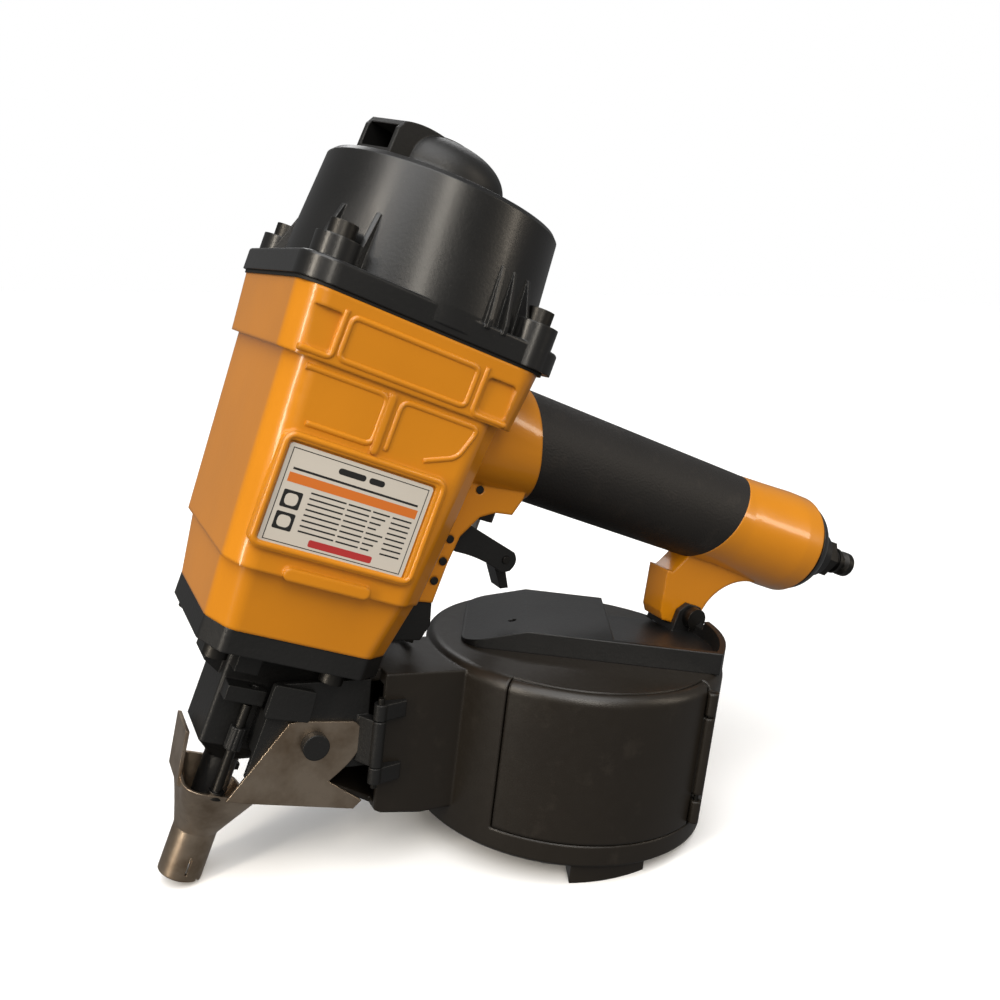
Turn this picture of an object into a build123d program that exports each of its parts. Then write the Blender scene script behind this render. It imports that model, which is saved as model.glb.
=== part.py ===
"""Coil nailer: a pneumatic nail gun with a round side-loading magazine, at real size in millimetres.

The tool rests on the tip of its nose and on the bottom of its magazine, so its drive axis leans back
from the vertical.  Every sub-part is drawn in the tool's own frame: X runs rearward towards the handle,
Y runs to the tool's right and Z runs up the drive axis, from the nail exit to the exhaust.
"""
import os
from math import cos, radians, sin

from build123d import *

# ---------------------------------------------------------------- driving dimensions
TILT = 21.4                    # lean of the drive axis from the vertical when the tool rests
NOSE_X = -147.2                # row position of the nail exit
NOSE_Y = 8.7

HOUSING_BOTTOM = 102.0         # levels along the drive axis
STEP_LEVEL = 124.0
BAND_LEVEL = 191.0
HOUSING_TOP = 212.0
GASKET = 1.2
CAP_BOTTOM = HOUSING_TOP + GASKET
FLANGE_TOP = 221.0
CAP_TOP = 259.8
CAP_R_BASE = 45.5
CAP_R_TOP = 42.6
CAP_WALL = 3.5

BORE_X = -8.0                  # the cylinder stands a little forward of the cap's centre
BORE_R = 24.0                  # working cylinder
SLEEVE_R = 26.5
RESERVOIR_R = 28.8
SLEEVE_STEP = 116.0            # shoulder in the housing that carries the sleeve's collar
SLEEVE_TOP = 207.0
PISTON_TOP = 205.0
PISTON_HEIGHT = 13.0
DRIVE_STROKE = 74.0
BLADE_TIP = 82.0
BLADE_R = 2.6
CHANNEL_R = 3.2
VALVE_TRAVEL = 4.5             # lift of the head valve
FOOT_TRAVEL = 9.0              # travel of the safety foot
COLUMN_HALF = 13.0             # half-width of the nose column
ADJUSTER = (-11.0, -16.8)      # X and Y of the depth adjuster's rod

HANDLE_Z = 188.3               # handle axis above the nail exit
HANDLE_R = 20.8
HANDLE_CORE_R = 17.4
HANDLE_END = 215.0
END_R = 22.6

MAG_X = 114.1                  # centre of the magazine's top plate
MAG_Y = -8.7
MAG_Z = 121.7
MAG_LEAN = 15.5                # magazine axis against the drive axis, as the nails are collated
MAG_R = 60.6
MAG_WALL = 2.4
MAG_SEAM = 57.2                # depth of the cover's lower edge below the top plate
MAG_DEPTH = 66.5
COVER_FROM = -143.0
COVER_TO = -62.0

BRACKET_Y = 15.0               # outer half-width of the trigger bracket
TRIGGER_PIVOT = (41.0, 147.0)   # X and Z of the trigger's pin
LEVER_PIVOT = (70.0, 144.6)
VALVE_X = 55.0
PIN_R = 1.5
COVER_PINS = [(41.4, 0, 138.4), (40.8, 0, 130.6)]
DOOR_HINGE = (34.2, -30.6, 72.0)   # a point on the feed door's pin, which leans with the magazine
DOOR_FACE = -22.4              # Y of the feed door's inner face
HANGER_BOLT = (167.5, 144.0)
COVER_HINGE = -62.0            # angle of the cover's hinge round the magazine
HINGE_R = 62.0
BOLT_R = 2.5
CAP_BOLTS = [(-39.5, -33.5), (-39.5, 33.5), (31.5, -38.5), (31.5, 38.5)]
NOSE_BOLTS = [(-30.0, -24.0), (-30.0, 24.0), (10.5, -27.0), (10.5, 27.0)]
MOUTH_ANGLE = -155
DEFLECTOR_X = -5.0               # axis of the exhaust deflector's screw
GUSSETS = [(150.7, 51.0), (133.0, 50.0), (75.6, 47.3), (68.3, 49.0), (57.7, 51.0)]   # angle, reach


# ---------------------------------------------------------------- frames
C_T = cos(radians(TILT))
S_T = sin(radians(TILT))
REARWARD = Vector(C_T, 0, -S_T)
DRIVE = Vector(S_T, 0, C_T)
TOOL = Plane(origin=(NOSE_X, NOSE_Y, 0), x_dir=REARWARD, z_dir=DRIVE)
DRIVE_AXIS = Axis(TOOL.origin, DRIVE)


def point(x, y, z):
    """A point given in the tool's frame."""
    return TOOL.from_local_coords(Vector(x, y, z))


def deck(z, x=0, y=0):
    """Plane square to the drive axis."""
    return Plane(origin=point(x, y, z), x_dir=REARWARD, z_dir=DRIVE)


def flank(y=0):
    """Plane that faces the tool's left: local X rearward, local Y up the drive axis."""
    return Plane(origin=point(0, y, 0), x_dir=REARWARD, z_dir=(0, -1, 0))


def bulkhead(x=0, z=0):
    """Plane square to the handle: local X to the tool's right, local Y up the drive axis."""
    return Plane(origin=point(x, 0, z), x_dir=(0, 1, 0), z_dir=REARWARD)


HANDLE_AXIS = Axis(point(0, 0, HANDLE_Z), REARWARD)
DEFLECTOR_AXIS = Axis(point(DEFLECTOR_X, 0, 0), DRIVE)
LEAN = radians(MAG_LEAN)
MAG_REAR = REARWARD * cos(LEAN) + DRIVE * sin(LEAN)
MAG_UP = DRIVE * cos(LEAN) - REARWARD * sin(LEAN)


def shelf(depth=0, a=0, b=0):
    """Plane square to the magazine's axis, at a depth below its top plate."""
    centre = point(MAG_X, MAG_Y, MAG_Z)
    origin = centre + MAG_REAR * a + Vector(0, b, 0) - MAG_UP * depth
    return Plane(origin=origin, x_dir=MAG_REAR, z_dir=MAG_UP)


MAG_AXIS = Axis(shelf().origin, MAG_UP)
MAG_PLANE = shelf()
MAG_FLANK = Plane(origin=shelf().origin, x_dir=MAG_REAR, z_dir=(0, -1, 0))
FROM_BASE = (Align.CENTER, Align.CENTER, Align.MIN)
FROM_TOP = (Align.CENTER, Align.CENTER, Align.MAX)


def spoke(angle):
    """Half-plane through the magazine's axis: local X outward, local Y up."""
    outward = MAG_REAR * cos(radians(angle)) + Vector(0, 1, 0) * sin(radians(angle))
    return Plane(origin=shelf().origin, x_dir=outward, z_dir=outward.cross(MAG_UP))


def meridian(angle, x=0):
    """Half-plane through the drive axis, or one beside it: local X outward, local Y up."""
    outward = REARWARD * cos(radians(angle)) + Vector(0, 1, 0) * sin(radians(angle))
    return Plane(origin=point(x, 0, 0), x_dir=outward, z_dir=outward.cross(DRIVE))


def on_circle(radius, angle):
    """Local coordinates of a point on a circle."""
    return radius * cos(radians(angle)), radius * sin(radians(angle))


def at_level(spots, z):
    """The same spots, lifted to one level."""
    return [(x, y, z) for x, y in spots]


def spring_coil(plane, radius, wire, height, turns):
    """A compression spring that stands on a plane."""
    pitch = (height - 2 * wire) / turns
    with BuildPart() as coil:
        with BuildLine() as path:
            Helix(pitch=pitch, height=height - 2 * wire, radius=radius, center=plane.offset(wire).origin,
                  direction=plane.z_dir)
        with BuildSketch(Plane(origin=path.line @ 0, z_dir=path.line % 0)):
            Circle(wire)
        sweep(path=path.line, is_frenet=True)
    return coil.part


def housing_outline(front, rear, half, bevel, front_flat, rear_bevel=10):
    """Corner points of the housing's section: a rectangle with bevelled front and rear corners."""
    return [
        (front, -front_flat),
        (front + bevel, -half),
        (rear - rear_bevel, -half),
        (rear, -half + rear_bevel),
        (rear, half - rear_bevel),
        (rear - rear_bevel, half),
        (front + bevel, half),
        (front, front_flat),
    ]


# ---------------------------------------------------------------- main housing
# the space of the rubber grip, drawn at the tool's own axes so that it can be added in the tool's frame
with BuildPart() as grip_space:
    with BuildSketch(Plane.XZ):
        with BuildLine():
            Line((71, 160), (50.4, 216))
            Line((50.4, 216), (184, 216))
            Spline((184, 216), (169, 203), (166, 195), (162, 182), (152, 160))
            Line((152, 160), (71, 160))
        make_face()
    extrude(amount=30, both=True)

with BuildPart(TOOL) as main_housing:
    with BuildSketch(deck(STEP_LEVEL)) as waist_low:
        Polygon(*housing_outline(-41, 30, 41.5, 5, 33), align=None)
        fillet(waist_low.vertices(), 7)
    with BuildSketch(deck(BAND_LEVEL)) as waist_high:
        Polygon(*housing_outline(-44.5, 35, 42.5, 5, 34), align=None)
        fillet(waist_high.vertices(), 7)
    loft()
    with BuildSketch(deck(BAND_LEVEL)) as band_low:
        Polygon(*housing_outline(-47, 37, 43.5, 5, 35, 6), align=None)
        fillet(band_low.vertices(), 7)
    with BuildSketch(deck(HOUSING_TOP)) as band_high:
        Polygon(*housing_outline(-48.5, 39, 44.5, 5, 36, 6), align=None)
        fillet(band_high.vertices(), 7)
    loft()
    with BuildSketch(deck(HOUSING_BOTTOM)) as foot_low:
        Polygon(*housing_outline(-37.5, 28, 34.5, 6, 24), align=None)
        fillet(foot_low.vertices(), 6)
    with BuildSketch(deck(STEP_LEVEL)) as foot_high:
        Polygon(*housing_outline(-40, 31, 38, 6, 28), align=None)
        fillet(foot_high.vertices(), 6)
    loft()
    # neck and handle core
    with BuildSketch(bulkhead(30, HANDLE_Z)):
        RectangleRounded(52, 43, 17)
    with BuildSketch(bulkhead(74, HANDLE_Z)):
        RectangleRounded(2 * HANDLE_R, 2 * HANDLE_R, HANDLE_R - 0.2)
    loft()
    with BuildSketch(bulkhead(60, HANDLE_Z)):
        Circle(HANDLE_R)
    extrude(amount=18)
    add(grip_space.part, mode=Mode.SUBTRACT)
    with BuildSketch(flank()):
        with BuildLine():
            Polyline((150, HANDLE_Z), (150, HANDLE_Z + HANDLE_R), (172, HANDLE_Z + HANDLE_R))
            Spline((172, HANDLE_Z + HANDLE_R), (188, HANDLE_Z + 21.6), (204, HANDLE_Z + END_R))
            Polyline((204, HANDLE_Z + END_R), (HANDLE_END - 2, HANDLE_Z + END_R),
                     (HANDLE_END, HANDLE_Z + END_R - 2), (HANDLE_END, HANDLE_Z), (150, HANDLE_Z))
        make_face()
    revolve(axis=HANDLE_AXIS)
    # rear leg
    with BuildSketch(flank()):
        with BuildLine():
            Polyline((147, 172), (148.8, 160), (153.2, 142), (155.6, 138.8), (171, 138.8), (175, 142))
            Spline((175, 142), (175.8, 151), (183, 161), (198, 166.5))
            Polyline((198, 166.5), (198, 174), (147, 172))
        make_face()
    extrude(amount=6.6, both=True)
    add(grip_space.part, mode=Mode.SUBTRACT)
    with BuildSketch(bulkhead(34, HANDLE_Z)):
        Circle(HANDLE_CORE_R)
    extrude(amount=140)
    # trigger bracket
    with BuildSketch(flank()):
        with BuildLine():
            Polyline((20, 121), (30.6, 120.4), (43.4, 122.4), (43.6, 138), (44.6, 149),
                     (49.6, 158), (55, 161.2), (62.2, 162.4), (64.2, 169), (64.6, 176), (20, 176), (20, 121))
        make_face()
    extrude(amount=BRACKET_Y, both=True)
    # reservoir, bumper seat, handle bore and trigger slot
    with BuildSketch(deck(SLEEVE_STEP, BORE_X)):
        Circle(RESERVOIR_R)
    extrude(amount=HOUSING_TOP - SLEEVE_STEP, mode=Mode.SUBTRACT)
    with BuildSketch(deck(HOUSING_BOTTOM - 1, BORE_X)):
        Circle(SLEEVE_R + 0.03)
    extrude(amount=SLEEVE_STEP - HOUSING_BOTTOM + 2, mode=Mode.SUBTRACT)
    with BuildSketch(bulkhead(25, HANDLE_Z)):
        Circle(11.5)
    extrude(amount=HANDLE_END, mode=Mode.SUBTRACT)
    with BuildSketch(bulkhead(196, HANDLE_Z)):
        Circle(18.5)
    extrude(amount=HANDLE_END, mode=Mode.SUBTRACT)
    with BuildSketch(flank()):
        Polygon((35.5, 110), (80, 110), (80, 158.4), (35.5, 158.4), align=None)
    extrude(amount=9.6, both=True, mode=Mode.SUBTRACT)
    # trigger valve pocket
    with BuildSketch(deck(156, VALVE_X)):
        Circle(7.6)
    extrude(amount=40, mode=Mode.SUBTRACT)
    # cross holes for the bracket's pins, and the hanger bolt's hole in the leg
    with Locations((TRIGGER_PIVOT[0], 0, TRIGGER_PIVOT[1]), *COVER_PINS):
        Cylinder(PIN_R, 40, rotation=(90, 0, 0), mode=Mode.SUBTRACT)
    with Locations((45.6, -12, 167.6)):
        Cylinder(PIN_R, 8, rotation=(90, 0, 0), mode=Mode.SUBTRACT)
    with Locations((HANGER_BOLT[0], 0, HANGER_BOLT[1])):
        Cylinder(BOLT_R + 0.1, 40, rotation=(90, 0, 0), mode=Mode.SUBTRACT)
    # face panels: two square recesses, the framed label field, a rib and a bar
    with BuildSketch(flank(-40)):
        with Locations((-9.5, 150.2)):
            RectangleRounded(57.5, 37.5, 4)
    extrude(amount=3.4)
    with BuildSketch(flank(-42.2)):
        with Locations((-10.3, 149.4)):
            RectangleRounded(51.5, 33.5, 1.5)
    extrude(amount=8, mode=Mode.SUBTRACT)
    with BuildSketch(flank(-40)):
        with Locations((-9.3, 179.5)):
            RectangleRounded(2.6, 20, 1.2)
        with Locations((-8.5, 125.6)):
            RectangleRounded(30, 4.2, 2)
    extrude(amount=3.0)
    with BuildSketch(flank(-43.0)):
        with Locations((-38.6, 200.4)):
            RectangleRounded(10.5, 12.5, 1.6)
        with Locations((24.6, 199.6)):
            RectangleRounded(11, 12, 1.6)
    extrude(amount=8, mode=Mode.SUBTRACT)
    # tapped holes for the cap and nose bolts
    with Locations(*at_level(CAP_BOLTS, HOUSING_TOP)):
        Cylinder(BOLT_R + 0.05, 16, align=FROM_TOP, mode=Mode.SUBTRACT)
    with Locations(*at_level(NOSE_BOLTS, HOUSING_BOTTOM)):
        Cylinder(BOLT_R + 0.05, 12, align=FROM_BASE, mode=Mode.SUBTRACT)
main_housing.part.label = "main_housing"


# ---------------------------------------------------------------- cap, gasket and exhaust
with BuildPart(TOOL) as label_plate:
    with BuildSketch(flank(-42.2)):
        with Locations((-10.3, 149.4)):
            RectangleRounded(50, 32, 1.2)
    extrude(amount=0.7)
label_plate.part.label = "label_plate"

with BuildPart(TOOL) as cap_gasket:
    with BuildSketch(deck(HOUSING_TOP, -4)) as gasket_outline:
        RectangleRounded(90, 88, 10)
        with Locations((BORE_X + 4, 0)):
            Circle(31.1, mode=Mode.SUBTRACT)
        with Locations(*[(x + 4, y) for x, y in CAP_BOLTS]):
            Circle(BOLT_R + 0.3, mode=Mode.SUBTRACT)
    extrude(amount=GASKET)
cap_gasket.part.label = "cap_gasket"

with BuildPart(TOOL) as cylinder_cap:
    with BuildSketch(deck(CAP_BOTTOM, -3)):
        RectangleRounded(94, 90, 11)
    extrude(amount=FLANGE_TOP - CAP_BOTTOM)
    fillet(cylinder_cap.edges().group_by(DRIVE_AXIS)[-1], 1.2)
    with BuildSketch(flank()):
        with BuildLine():
            Polyline((0, CAP_BOTTOM + 2), (CAP_R_BASE, CAP_BOTTOM + 2), (CAP_R_BASE, FLANGE_TOP + 0.5),
                     (CAP_R_TOP, CAP_TOP - 1.6))
            Line((CAP_R_TOP, CAP_TOP - 1.6), (CAP_R_TOP - 1.5, CAP_TOP))
            Polyline((CAP_R_TOP - 1.5, CAP_TOP), (38, CAP_TOP), (37.4, CAP_TOP - 0.9),
                     (0, CAP_TOP - 0.9), (0, CAP_BOTTOM + 2))
        make_face()
    revolve(axis=DRIVE_AXIS)
    # bosses under the bolt heads
    with Locations(*at_level(CAP_BOLTS, CAP_BOTTOM)):
        Cylinder(7.6, 228 - CAP_BOTTOM, align=FROM_BASE)
    # thin gusset fins between the drum and its flange
    for side in (1, -1):
        for angle, reach in GUSSETS:
            with BuildSketch(meridian(side * angle)):
                Polygon((40, 219.5), (reach, 219.5), (reach, 222.5), (44.6, 240), (40, 240), align=None)
            extrude(amount=0.8, both=True)
    # valve bore, exhaust post and passage
    with BuildSketch(deck(CAP_BOTTOM - 1, BORE_X)):
        Circle(31.05)
        Circle(9, mode=Mode.SUBTRACT)
    extrude(amount=250 - CAP_BOTTOM + 1, mode=Mode.SUBTRACT)
    with BuildSketch(deck(CAP_BOTTOM - 1, BORE_X - 4.4)):
        Circle(3.5)
    extrude(amount=60, mode=Mode.SUBTRACT)
    with BuildSketch(deck(244, DEFLECTOR_X)):
        Circle(2.0)
    extrude(amount=30, mode=Mode.SUBTRACT)
    with Locations(*at_level(CAP_BOLTS, CAP_BOTTOM - 1)):
        Cylinder(BOLT_R + 0.1, 30, align=FROM_BASE, mode=Mode.SUBTRACT)
cylinder_cap.part.label = "cylinder_cap"

with BuildPart(TOOL) as cap_bolts:
    with Locations(*at_level(CAP_BOLTS, 228)):
        Cylinder(4.5, 5, align=FROM_BASE)
        Cylinder(BOLT_R, 30, align=FROM_TOP)
    with BuildSketch(deck(230)):
        with Locations(*CAP_BOLTS):
            RegularPolygon(2.4, 6)
    extrude(amount=4, mode=Mode.SUBTRACT)
cap_bolts.part.label = "cap_bolts"

with BuildPart(TOOL) as exhaust_deflector:
    with BuildSketch(meridian(0, DEFLECTOR_X)):
        with BuildLine():
            Polyline((24.4, CAP_TOP + 0.2), (24.4, 262.4), (24.1, 264))
            Spline((24.1, 264), (21.6, 270.6), (15.4, 274.8), (7.6, 276.2))
            Polyline((7.6, 276.2), (7.6, 277.2), (2.2, 277.2), (2.2, CAP_TOP - 0.85), (3.9, CAP_TOP - 0.85),
                     (3.9, CAP_TOP + 0.2), (24.4, CAP_TOP + 0.2))
        make_face()
    revolve(axis=DEFLECTOR_AXIS)
    with BuildSketch(meridian(MOUTH_ANGLE, DEFLECTOR_X)):
        with BuildLine():
            Polyline((4, 260.2), (31.6, 260.2), (31, 269.4), (29, 272.4))
            Spline((29, 272.4), (23, 274.2), (15, 275.4), (4, 275.6))
            Line((4, 275.6), (4, 260.2))
        make_face()
    extrude(amount=8, both=True)
    # the hollow under the dome leaves the hub that turns on the screw
    with BuildSketch(meridian(0, DEFLECTOR_X)):
        with BuildLine():
            Polyline((22.4, CAP_TOP - 1), (22.4, 262.8))
            Spline((22.4, 262.8), (19.6, 269), (13.6, 272.4), (7.5, 273.4))
            Polyline((7.5, 273.4), (3.9, 271.6), (3.9, CAP_TOP - 1), (22.4, CAP_TOP - 1))
        make_face()
    revolve(axis=DEFLECTOR_AXIS, mode=Mode.SUBTRACT)
    with BuildSketch(meridian(MOUTH_ANGLE, DEFLECTOR_X)):
        Polygon((12, 262.2), (40, 262.2), (40, 270.2), (28.4, 270.4), (12, 271.4), align=None)
    extrude(amount=6.4, both=True, mode=Mode.SUBTRACT)
    with Locations((DEFLECTOR_X, 0, 275.6)):
        Cylinder(5.4, 8, align=FROM_BASE, mode=Mode.SUBTRACT)
exhaust_deflector.part.label = "exhaust_deflector"

with BuildPart(TOOL) as deflector_screw:
    with Locations((DEFLECTOR_X, 0, 275.8)):
        Cylinder(5, 2, align=FROM_BASE)
        Cylinder(1.95, 28, align=FROM_TOP)
    with BuildSketch(deck(276.6, DEFLECTOR_X)):
        RegularPolygon(2.2, 6)
    extrude(amount=4, mode=Mode.SUBTRACT)
deflector_screw.part.label = "deflector_screw"

# ---------------------------------------------------------------- working cylinder
BORE_AXIS = Axis(point(BORE_X, 0, 0), DRIVE)


def turned_on_bore(corners):
    """A body of revolution about the driver's axis, from (radius, level) corners."""
    with BuildPart() as turned_part:
        with BuildSketch(flank()):
            Polygon(*[(BORE_X + radius, level) for radius, level in corners], align=None)
        revolve(axis=BORE_AXIS)
    return turned_part.part


with BuildPart() as cylinder_sleeve:
    add(turned_on_bore([(BORE_R, 102.4), (SLEEVE_R, 102.4), (SLEEVE_R, SLEEVE_STEP), (28.7, SLEEVE_STEP),
                        (28.7, 119), (SLEEVE_R, 119), (SLEEVE_R, SLEEVE_TOP), (BORE_R, SLEEVE_TOP)]))
cylinder_sleeve.part.label = "cylinder_sleeve"

with BuildPart() as bumper:
    add(turned_on_bore([(BLADE_R + 1, 102), (BORE_R - 0.2, 102), (BORE_R - 0.2, 112), (20, 117.6),
                        (BLADE_R + 3, 117.6), (BLADE_R + 1, 115)]))
bumper.part.label = "bumper"

with BuildPart() as piston_driver:
    bottom = PISTON_TOP - PISTON_HEIGHT
    add(turned_on_bore([(0, BLADE_TIP), (BLADE_R, BLADE_TIP), (BLADE_R, bottom), (BORE_R - 0.05, bottom),
                        (BORE_R - 0.05, 197), (21.8, 197), (21.8, 200.6), (BORE_R - 0.05, 200.6),
                        (BORE_R - 0.05, PISTON_TOP), (0, PISTON_TOP)]))
piston_driver.part.label = "piston_driver"

with BuildPart() as piston_ring:
    add(turned_on_bore([(21.9, 197.1), (BORE_R - 0.04, 197.1), (BORE_R - 0.04, 200.5), (21.9, 200.5)]))
piston_ring.part.label = "piston_ring"

with BuildPart() as head_valve:
    add(turned_on_bore([(9.08, 222), (9.08, 218), (BORE_R + 0.2, 218), (BORE_R + 0.2, 207.1), (27.6, 207.1),
                        (27.6, 215), (30.97, 215), (30.97, 222)]))
head_valve.part.label = "head_valve"

head_valve_spring = spring_coil(deck(222.1, BORE_X), 18, 1.1, 27.8, 5)
head_valve_spring.label = "head_valve_spring"

# ---------------------------------------------------------------- handle
with BuildPart(TOOL) as handle_grip:
    with BuildSketch(bulkhead(44, HANDLE_Z)):
        Circle(HANDLE_R)
        Circle(HANDLE_CORE_R + 0.02, mode=Mode.SUBTRACT)
    extrude(amount=148)
    add(grip_space.part, mode=Mode.INTERSECT)
handle_grip.part.label = "handle_grip"

with BuildPart(TOOL) as end_cap:
    with BuildSketch(flank()):
        with BuildLine():
            Polyline((198, HANDLE_Z + 6.6), (198, HANDLE_Z + 18.4), (202, HANDLE_Z + 18.4),
                     (202, HANDLE_Z + 16.4), (206, HANDLE_Z + 16.4), (206, HANDLE_Z + 18.4),
                     (HANDLE_END + 0.2, HANDLE_Z + 18.4), (HANDLE_END + 0.2, HANDLE_Z + 21.4))
            Spline((HANDLE_END + 0.2, HANDLE_Z + 21.4), (220, HANDLE_Z + 19.4), (224, HANDLE_Z + 13))
            Polyline((224, HANDLE_Z + 13), (227.5, HANDLE_Z + 11.4), (233, HANDLE_Z + 11),
                     (234, HANDLE_Z + 10), (234, HANDLE_Z + 6.6), (198, HANDLE_Z + 6.6))
        make_face()
    revolve(axis=HANDLE_AXIS)
end_cap.part.label = "end_cap"

with BuildPart(TOOL) as end_cap_seal:
    with BuildSketch(bulkhead(202.2, HANDLE_Z)):
        Circle(18.45)
        Circle(16.45, mode=Mode.SUBTRACT)
    extrude(amount=3.6)
end_cap_seal.part.label = "end_cap_seal"

with BuildPart(TOOL) as air_plug:
    with BuildSketch(flank()):
        Polygon((214, HANDLE_Z + 3), (214, HANDLE_Z + 6.55), (234.2, HANDLE_Z + 6.55),
                (241, HANDLE_Z + 6.55), (241, HANDLE_Z + 5), (245.5, HANDLE_Z + 5),
                (245.5, HANDLE_Z + 6.2), (247, HANDLE_Z + 6.2), (248, HANDLE_Z + 4), (251, HANDLE_Z + 4),
                (252, HANDLE_Z + 5.8), (255.4, HANDLE_Z + 5.8), (256.4, HANDLE_Z + 4.9),
                (256.4, HANDLE_Z + 3), align=None)
    revolve(axis=HANDLE_AXIS)
    with BuildSketch(bulkhead(234.2, HANDLE_Z)):
        RegularPolygon(9.4, 6)
        Circle(4, mode=Mode.SUBTRACT)
    extrude(amount=6)
air_plug.part.label = "air_plug"

# ---------------------------------------------------------------- trigger group
with BuildPart(TOOL) as trigger_pin:
    with Locations((TRIGGER_PIVOT[0], 0, TRIGGER_PIVOT[1])):
        Cylinder(PIN_R - 0.02, 31.2, rotation=(90, 0, 0))
trigger_pin.part.label = "trigger_pin"

with BuildPart(TOOL) as bracket_pins:
    for side in (-1, 1):
        for x, _, z in COVER_PINS:
            with Locations((x, side * 12.7, z)):
                Cylinder(PIN_R, 5.8, rotation=(90, 0, 0))
    with Locations((45.6, -11.8, 167.6)):
        Cylinder(PIN_R, 7, rotation=(90, 0, 0))
bracket_pins.part.label = "bracket_pins"

with BuildPart(TOOL) as trigger_valve_body:
    with Locations((VALVE_X, 0, 156.3)):
        Cylinder(7.55, 27.7, align=FROM_BASE)
        Cylinder(3.05, 9, align=FROM_BASE, mode=Mode.SUBTRACT)
    with Locations((VALVE_X, 0, 164)):
        Cylinder(5.2, 18, align=FROM_BASE, mode=Mode.SUBTRACT)
        Cylinder(1.5, 30, align=FROM_BASE, mode=Mode.SUBTRACT)
trigger_valve_body.part.label = "trigger_valve_body"

with BuildPart(TOOL) as trigger_valve_stem:
    with Locations((VALVE_X, 0, 150.8)):
        Cylinder(3.0, 14, align=FROM_BASE)
    with Locations((VALVE_X, 0, 164.1)):
        Cylinder(5.0, 3, align=FROM_BASE)
trigger_valve_stem.part.label = "trigger_valve_stem"

trigger_valve_spring = spring_coil(deck(167.2, VALVE_X), 3.6, 0.4, 14.7, 7)
trigger_valve_spring.label = "trigger_valve_spring"

with BuildPart(TOOL) as trigger:
    with BuildSketch(flank()):
        with BuildLine():
            Polyline((37.4, 143.6), (37.2, 150), (40, 151.4), (50.5, 153.4), (72.4, 148.4))
            Spline((72.4, 148.4), (74.4, 145.6), (73.3, 140.9))
            Line((73.3, 140.9), (70.2, 139.3))
            Spline((70.2, 139.3), (60, 141.8), (48.3, 142.2))
            Line((48.3, 142.2), (37.4, 143.6))
        make_face()
    extrude(amount=9.2, both=True)
    with BuildSketch(flank()):
        Polygon((30, 140), (50, 140), (50, 145), (60.5, 144.6), (67, 143.4), (67, 136), (80, 136), (80, 160),
                (30, 160), align=None)
    extrude(amount=6.6, both=True, mode=Mode.SUBTRACT)
    with Locations((TRIGGER_PIVOT[0], 0, TRIGGER_PIVOT[1])):
        Cylinder(PIN_R + 0.04, 40, rotation=(90, 0, 0), mode=Mode.SUBTRACT)
    with Locations((LEVER_PIVOT[0], 0, LEVER_PIVOT[1])):
        Cylinder(PIN_R, 40, rotation=(90, 0, 0), mode=Mode.SUBTRACT)
trigger.part.label = "trigger"

with BuildPart(TOOL) as lever_pin:
    with Locations((LEVER_PIVOT[0], 0, LEVER_PIVOT[1])):
        Cylinder(PIN_R - 0.02, 19.4, rotation=(90, 0, 0))
lever_pin.part.label = "lever_pin"

with BuildPart(TOOL) as trigger_lever:
    with BuildSketch(flank()):
        Polygon((44.6, 148.6), (45, 146.2), (66.8, 145.2), (68.6, 141), (75.2, 132.4), (78.4, 133.6),
                (72.6, 143), (71.8, 147), (52, 148.9), align=None)
    extrude(amount=4.2, both=True)
    with Locations((LEVER_PIVOT[0], 0, LEVER_PIVOT[1])):
        Cylinder(PIN_R + 0.04, 40, rotation=(90, 0, 0), mode=Mode.SUBTRACT)
trigger_lever.part.label = "trigger_lever"

# ---------------------------------------------------------------- nose
with BuildPart(TOOL) as nose_body:
    with BuildSketch(deck(94)) as nose_flange:
        Polygon(*housing_outline(-37.5, 28, 34, 6, 24), align=None)
        fillet(nose_flange.vertices(), 3)
    extrude(amount=HOUSING_BOTTOM - 94)
    with BuildSketch(deck(55, -2.5)):
        RectangleRounded(38, 2 * COLUMN_HALF, 1.5)
    extrude(amount=40)
    with BuildSketch(deck(47, BORE_X)):
        Circle(6.2)
    with BuildSketch(deck(55, -2.5)):
        RectangleRounded(38, 2 * COLUMN_HALF, 1.5)
    loft()
    with BuildSketch(deck(9.5, BORE_X)):
        Circle(6.2)
    extrude(amount=38)
    # front lug and side ribs that carry the depth stop
    with BuildSketch(flank()):
        Polygon((-21, 78), (-28, 82), (-28, 86), (-24, 95), (-21, 95), align=None)
    extrude(amount=8, both=True)
    with BuildSketch(flank(-COLUMN_HALF + 0.5)):
        Polygon((-20.5, 73.6), (-6.9, 73.6), (-6.9, 79), (-20.5, 79), align=None)
        Polygon((-20.5, 84), (-12, 84), (-12, 94.5), (-20.5, 94.5), align=None)
    extrude(amount=7.5)
    # nail entry slot to the driver channel
    with BuildSketch(flank()):
        Polygon((BORE_X, 30), (30, 36), (30, 92), (BORE_X, 92), align=None)
    extrude(amount=1.9, both=True, mode=Mode.SUBTRACT)
    with BuildSketch(deck(0, BORE_X)):
        Circle(CHANNEL_R)
    extrude(amount=110, mode=Mode.SUBTRACT)
    with Locations(*at_level(NOSE_BOLTS, 90)):
        Cylinder(BOLT_R + 0.1, 20, align=FROM_BASE, mode=Mode.SUBTRACT)
    with Locations((*ADJUSTER, 60)):
        Cylinder(1.75, 24, align=FROM_BASE, mode=Mode.SUBTRACT)
nose_body.part.label = "nose_body"

with BuildPart(TOOL) as nose_bolts:
    with Locations(*at_level(NOSE_BOLTS, 94)):
        Cylinder(4.3, 4.6, align=FROM_TOP)
        Cylinder(BOLT_R, 19, align=FROM_BASE)
    with BuildSketch(deck(89)):
        with Locations(*NOSE_BOLTS):
            RegularPolygon(2.4, 6)
    extrude(amount=2.6, mode=Mode.SUBTRACT)
nose_bolts.part.label = "nose_bolts"

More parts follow.
